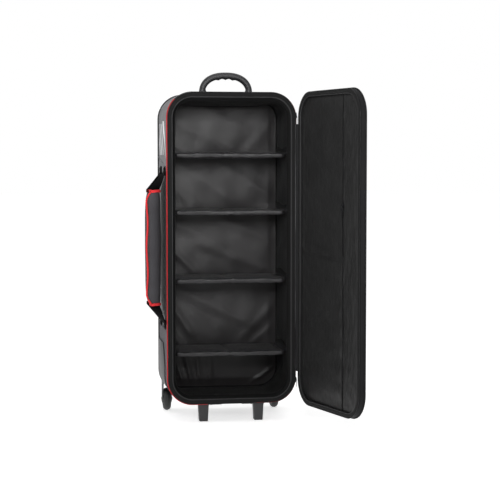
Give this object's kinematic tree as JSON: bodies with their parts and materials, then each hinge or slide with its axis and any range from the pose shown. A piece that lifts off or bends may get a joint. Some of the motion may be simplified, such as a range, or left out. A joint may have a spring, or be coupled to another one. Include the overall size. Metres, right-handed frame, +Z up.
{
  "type": "wheeled ball bag",
  "caption": "Tall wheeled fabric bag for balls and shoes, with padded shelves, a side-hinged zipped door, a moulded top handle, a padded side handle, rear wheels and front feet.",
  "frame": {"origin": "on the floor, below the middle of the front opening", "axes": "+Z up, -Y out of the front opening, +X towards the side that carries the door"},
  "size_m": [0.608, 0.7148, 1.132],
  "materials": {
    "grey_fabric": "woven polyester, coated behind",
    "black_fabric": "woven polyester",
    "foam": "closed-cell padding",
    "board": "stiff plastic sheet",
    "lining": "thin nylon lining with a light sheen",
    "binding": "folded binding tape",
    "red_trim": "red piping and binding tape",
    "zip_tape": "woven zip tape",
    "zip_chain": "coil zip",
    "moulded_black": "moulded, fine texture",
    "steel": "zinc plated",
    "webbing": "nylon webbing",
    "wrap_fabric": "padded woven fabric",
    "slider_metal": "black enamel",
    "shelf_fabric": "padded nylon",
    "hook_tape": "hook-and-loop tape",
    "tyre": "polyurethane tread",
    "hub": "glass-filled nylon"
  },
  "bodies": {
    "bag": {"side_fabric": "grey_fabric", "back_fabric": "black_fabric", "wall_foam": "foam", "back_foam": "foam", "back_board": "board", "base_board": "board", "top_board": "board", "lining": "lining", "rim_binding": "binding", "red_piping": "red_trim", "back_piping": "black_fabric", "body_zip_tape": "zip_tape", "body_zip_chain": "zip_chain", "hinge_strip_body": "black_fabric", "top_handle": "moulded_black", "handle_screws": "steel", "strap_anchors": "webbing", "side_strap_front": "webbing", "side_strap_rear": "webbing", "wheel_housing_left": "moulded_black", "wheel_housing_right": "moulded_black", "housing_screws": "steel", "axles": "steel", "foot_left": "moulded_black", "foot_right": "moulded_black", "foot_screws": "steel"},
    "door": {"door_fabric": "black_fabric", "door_foam": "foam", "door_lining": "lining", "door_rim_binding": "binding", "door_piping": "black_fabric", "door_zip_tape": "zip_tape", "door_zip_chain": "zip_chain", "hinge_strip_door": "black_fabric", "pocket_panel": "lining", "pocket_zip_tape": "zip_tape", "pocket_zip_chain": "zip_chain"},
    "side_handle": {"side_wrap": "wrap_fabric", "side_wrap_binding": "red_trim", "side_grip_core": "webbing"},
    "pocket_slider": {"pocket_slider": "slider_metal"},
    "pocket_pull": {"pocket_pull": "slider_metal"},
    "zip_upper": {"zip_slider_upper": "slider_metal", "zip_pull_upper": "slider_metal"},
    "zip_lower": {"zip_slider_lower": "slider_metal", "zip_pull_lower": "slider_metal"},
    "shelf_1": {"shelf_1": "shelf_fabric", "shelf_tabs_1": "hook_tape"},
    "shelf_2": {"shelf_2": "shelf_fabric", "shelf_tabs_2": "hook_tape"},
    "shelf_3": {"shelf_3": "shelf_fabric", "shelf_tabs_3": "hook_tape"},
    "shelf_4": {"shelf_4": "shelf_fabric", "shelf_tabs_4": "hook_tape"},
    "wheel_left": {"tyre_left": "tyre", "hub_left": "hub", "bearings_left": "steel"},
    "wheel_right": {"tyre_right": "tyre", "hub_right": "hub", "bearings_right": "steel"}
  },
  "joints": [
    {"name": "door_swing", "type": "hinge", "parent": "bag", "child": "door", "pos_m": [0.2115, 0, 0.561], "axis": [0, 0, 1], "range_deg": [-105, 75]},
    {"name": "side_handle_swing", "type": "hinge", "parent": "bag", "child": "side_handle", "pos_m": [-0.209, 0.135, 0.561], "axis": [0, 0, 1], "range_deg": [-15, 15]},
    {"name": "wheel_left_spin", "type": "hinge", "parent": "bag", "child": "wheel_left", "pos_m": [-0.184, 0.271, 0.038], "axis": [1, 0, 0], "continuous": true},
    {"name": "wheel_right_spin", "type": "hinge", "parent": "bag", "child": "wheel_right", "pos_m": [0.184, 0.271, 0.038], "axis": [1, 0, 0], "continuous": true},
    {"name": "zip_upper_travel", "type": "hinge", "parent": "bag", "child": "zip_upper", "pos_m": [0.1275, 0.003, 0.981], "axis": [0, -1, 0], "range_deg": [0, 77]},
    {"name": "zip_lower_travel", "type": "hinge", "parent": "bag", "child": "zip_lower", "pos_m": [0.1275, 0.003, 0.141], "axis": [0, 1, 0], "range_deg": [0, 77]},
    {"name": "pocket_zip_travel", "type": "slide", "parent": "door", "child": "pocket_slider", "axis": [0, 0, 1], "range_m": [-0.52, 0.26]},
    {"name": "pocket_pull_flip", "type": "hinge", "parent": "pocket_slider", "child": "pocket_pull", "pos_m": [0.29339, -0.28553, 0.708], "axis": [-0.2588, 0.9659, 0], "range_deg": [0, 150]},
    {"name": "shelf_1_move", "type": "slide", "parent": "bag", "child": "shelf_1", "axis": [0, 0, 1], "range_m": [-0.05, 0.05]},
    {"name": "shelf_2_move", "type": "slide", "parent": "bag", "child": "shelf_2", "axis": [0, 0, 1], "range_m": [-0.05, 0.05]},
    {"name": "shelf_3_move", "type": "slide", "parent": "bag", "child": "shelf_3", "axis": [0, 0, 1], "range_m": [-0.05, 0.05]},
    {"name": "shelf_4_move", "type": "slide", "parent": "bag", "child": "shelf_4", "axis": [0, 0, 1], "range_m": [-0.05, 0.05]}
  ]
}
